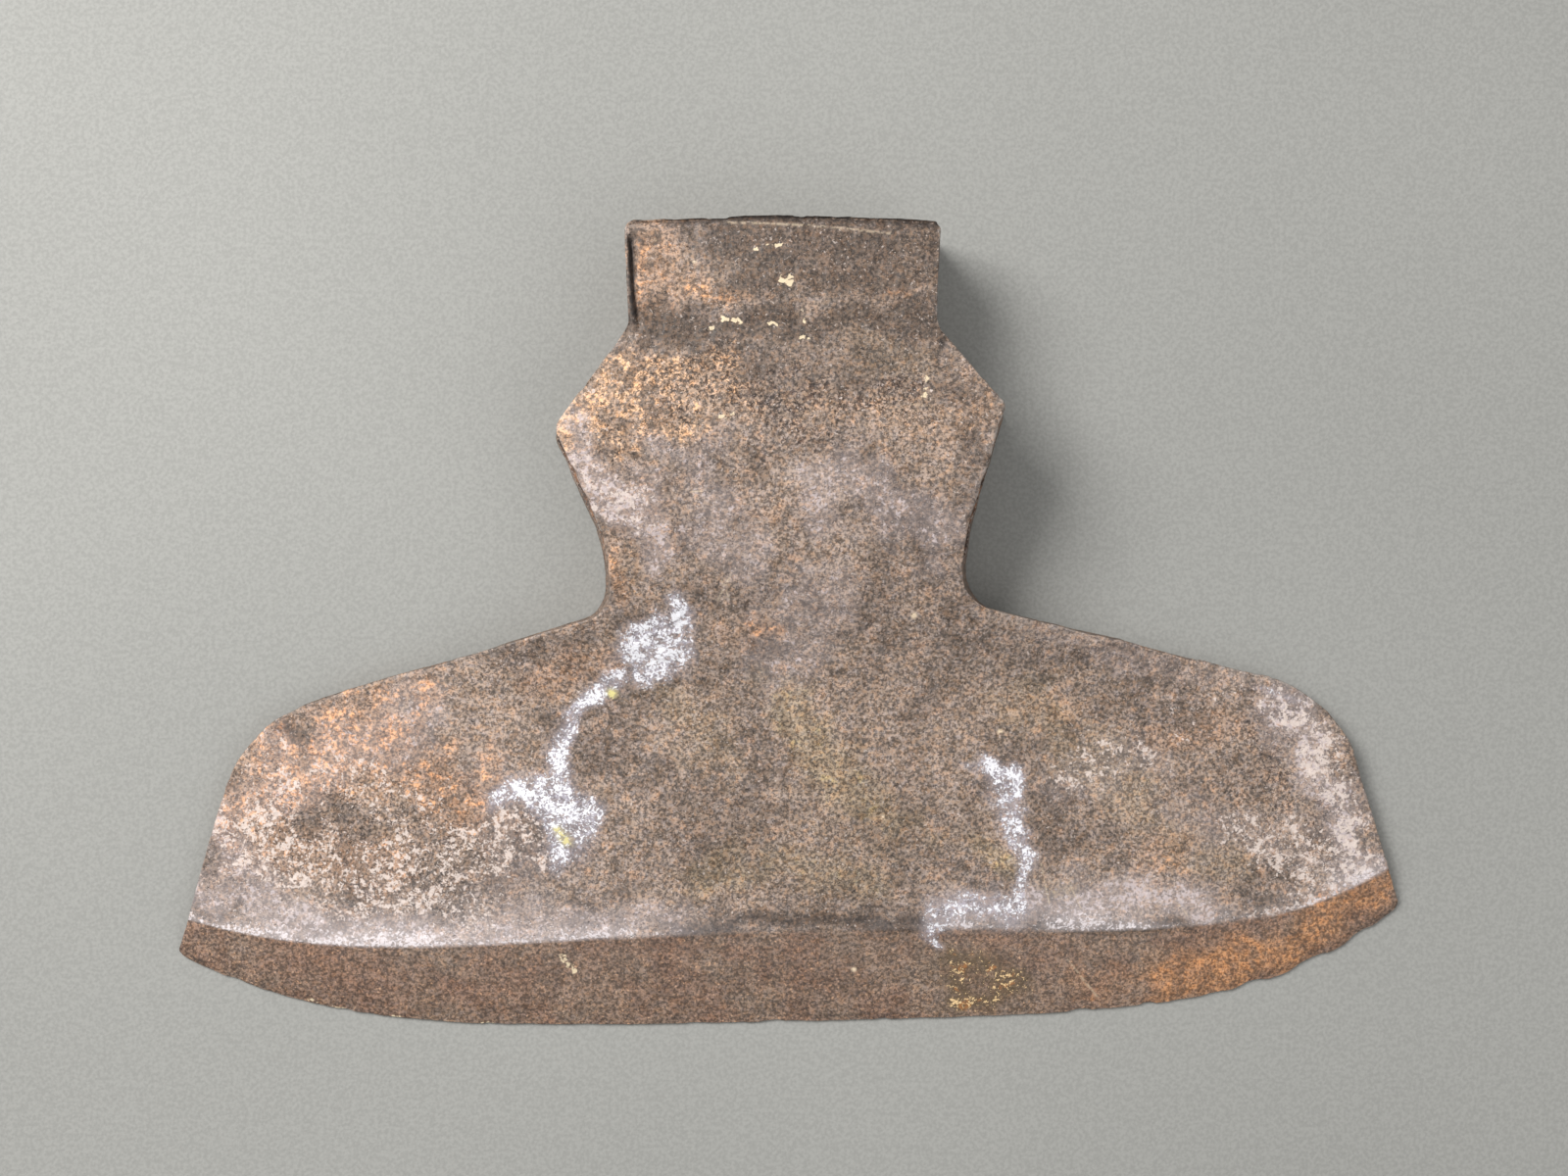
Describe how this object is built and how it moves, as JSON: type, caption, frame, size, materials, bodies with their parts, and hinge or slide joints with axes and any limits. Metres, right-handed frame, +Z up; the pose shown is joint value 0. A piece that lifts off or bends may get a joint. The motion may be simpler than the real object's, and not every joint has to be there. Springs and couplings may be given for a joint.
{
  "type": "hewing axe head",
  "caption": "Rusted hewing axe head lying on its flat side: square poll, oval eye between pointed ears for a haft, and a broad blade ground on one side only.",
  "frame": {"origin": "middle of the head's box, on the surface that its flat side lies on", "axes": "+X along the cutting edge from heel to toe, +Y from the edge to the poll, +Z up out of the flat side"},
  "size_m": [0.3066, 0.1992, 0.0311],
  "materials": {
    "forged_iron": "rusted dark brown, pitted, with pale chips and tan and orange rust"
  },
  "bodies": {
    "root": {"axe_head": "forged_iron"}
  },
  "joints": []
}
